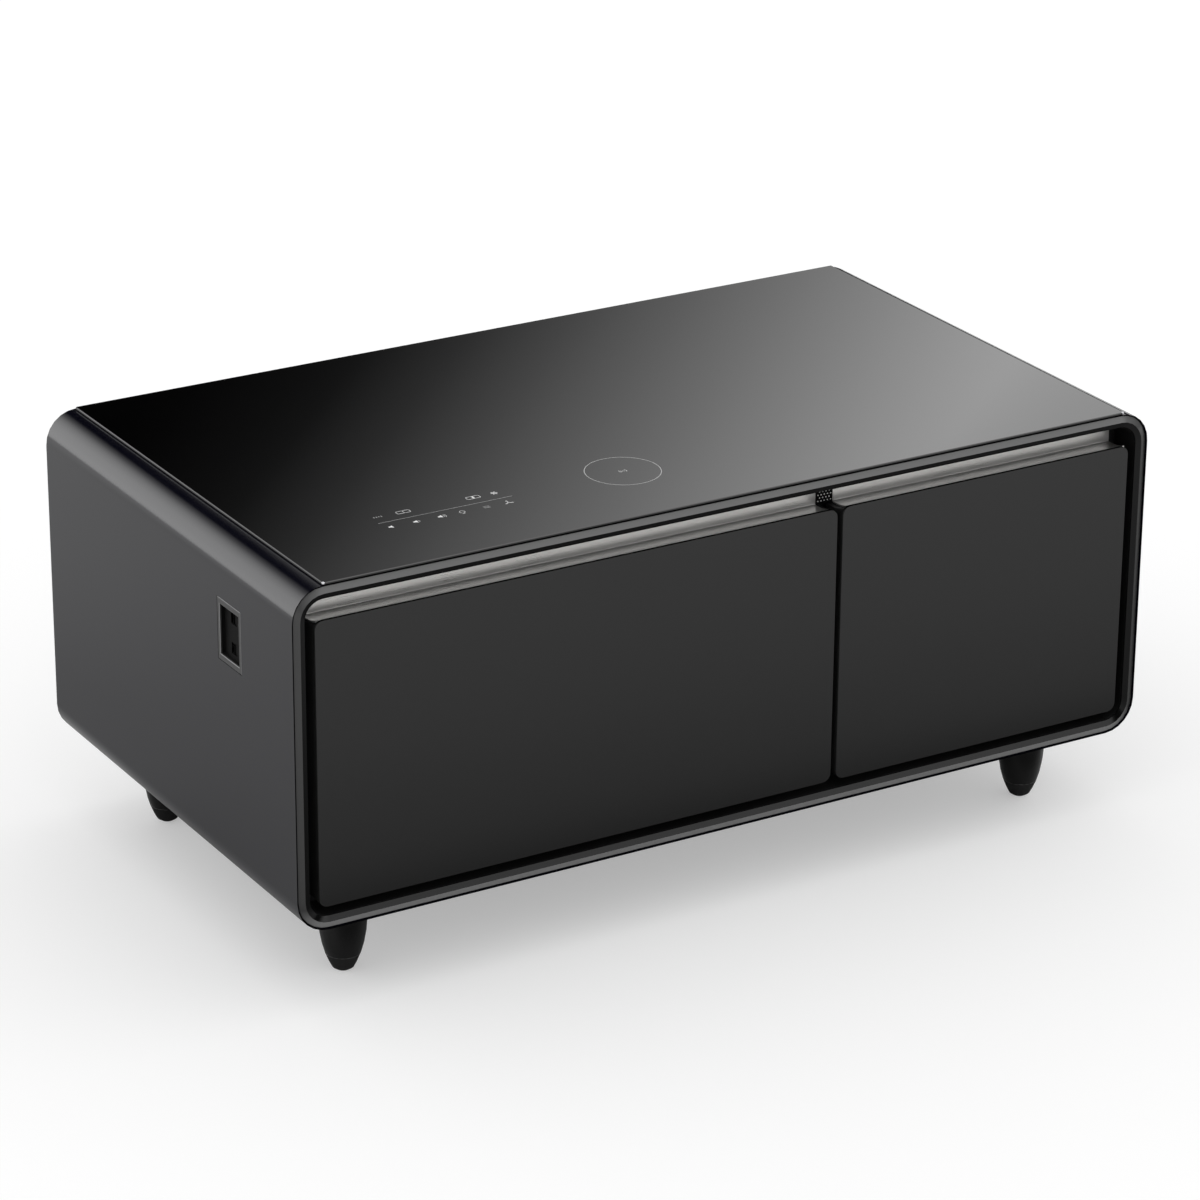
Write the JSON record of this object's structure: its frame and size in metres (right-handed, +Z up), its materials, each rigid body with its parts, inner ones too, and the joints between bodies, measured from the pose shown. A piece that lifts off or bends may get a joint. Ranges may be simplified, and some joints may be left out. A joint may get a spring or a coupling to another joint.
{
  "type": "refrigerator coffee table",
  "caption": "Low lacquered cabinet with a dark glass top, two front drawers with recessed silver pulls that slide out on telescopic rails, and short turned legs.",
  "frame": {"origin": "on the floor, under the middle of the cabinet", "axes": "+Z up, drawers face -Y, +X to the right of someone who stands in front of the drawers"},
  "size_m": [1.1, 0.61, 0.4983],
  "materials": {
    "side_lacquer": "satin grey-black lacquer",
    "trim_lacquer": "satin grey lacquer",
    "front_lacquer": "fine satin near-black lacquer",
    "pull_silver": "satin silver",
    "black_glass": "polished, black underside",
    "black_plastic": "fine matte",
    "grey_plastic": "fine matte",
    "leg_black": "satin black",
    "foot_rubber": "matte",
    "liner_white": "smooth white",
    "bin_grey": "smooth light grey",
    "foam": "rigid foam",
    "rail_zinc": "zinc plated",
    "evaporator_aluminium": "plain",
    "pipe_copper": "drawn copper",
    "pot_black": "satin black paint",
    "steel_black": "satin black paint",
    "back_grey": "matte moulded plastic",
    "board_green": "lacquered board",
    "gasket_grey": "matte"
  },
  "bodies": {
    "cabinet": {"casing": "side_lacquer", "back_panel": "back_grey", "glass_top": "black_glass", "front_bezel": "trim_lacquer", "front_fascia": "black_plastic", "speaker_grille": "black_plastic", "speaker_driver": "steel_black", "touch_board": "board_green", "charging_coil": "pipe_copper", "usb_pocket": "grey_plastic", "usb_sockets": "rail_zinc", "foam_insulation": "foam", "left_liner": "liner_white", "left_evaporator": "evaporator_aluminium", "left_wall_rail_outer": "rail_zinc", "left_wall_rail_inner": "rail_zinc", "right_liner": "liner_white", "right_evaporator": "evaporator_aluminium", "right_wall_rail_outer": "rail_zinc", "right_wall_rail_inner": "rail_zinc", "compressor": "pot_black", "condenser": "evaporator_aluminium", "fan_housing": "black_plastic", "control_board": "board_green", "power_inlet": "black_plastic", "discharge_pipe": "pipe_copper", "filter_drier": "pipe_copper", "link_pipe": "pipe_copper", "suction_pipe": "pipe_copper", "leg_front_left": "leg_black", "leg_tip_front_left": "foot_rubber", "leg_plate_front_left": "steel_black", "leg_front_right": "leg_black", "leg_tip_front_right": "foot_rubber", "leg_plate_front_right": "steel_black", "leg_back_left": "leg_black", "leg_tip_back_left": "foot_rubber", "leg_plate_back_left": "steel_black", "leg_back_right": "leg_black", "leg_tip_back_right": "foot_rubber", "leg_plate_back_right": "steel_black"},
    "left_drawer": {"left_front_panel": "front_lacquer", "left_pull": "pull_silver", "left_front_core": "grey_plastic", "left_gasket": "gasket_grey", "left_bin": "bin_grey", "left_bin_rail_outer": "rail_zinc", "left_bin_rail_inner": "rail_zinc"},
    "left_middle_rails": {"left_middle_rail_outer": "rail_zinc", "left_middle_rail_inner": "rail_zinc"},
    "right_drawer": {"right_front_panel": "front_lacquer", "right_pull": "pull_silver", "right_front_core": "grey_plastic", "right_gasket": "gasket_grey", "right_bin": "bin_grey", "right_bin_rail_outer": "rail_zinc", "right_bin_rail_inner": "rail_zinc"},
    "right_middle_rails": {"right_middle_rail_outer": "rail_zinc", "right_middle_rail_inner": "rail_zinc"},
    "fan": {"fan_rotor": "black_plastic"}
  },
  "joints": [
    {"name": "left_drawer_slide", "type": "slide", "parent": "cabinet", "child": "left_drawer", "axis": [0, -1, 0], "range_m": [0, 0.42]},
    {"name": "left_rail_slide", "type": "slide", "parent": "cabinet", "child": "left_middle_rails", "axis": [0, -1, 0], "range_m": [0, 0.21]},
    {"name": "right_drawer_slide", "type": "slide", "parent": "cabinet", "child": "right_drawer", "axis": [0, -1, 0], "range_m": [0, 0.24]},
    {"name": "right_rail_slide", "type": "slide", "parent": "cabinet", "child": "right_middle_rails", "axis": [0, -1, 0], "range_m": [0, 0.12]},
    {"name": "fan_spin", "type": "hinge", "parent": "cabinet", "child": "fan", "pos_m": [0.44, 0.212, 0.1593], "axis": [0, 1, 0], "continuous": true}
  ],
  "couplings": [
    {"joint": "left_rail_slide", "follows": "left_drawer_slide", "ratio": 0.5},
    {"joint": "right_rail_slide", "follows": "right_drawer_slide", "ratio": 0.5}
  ]
}
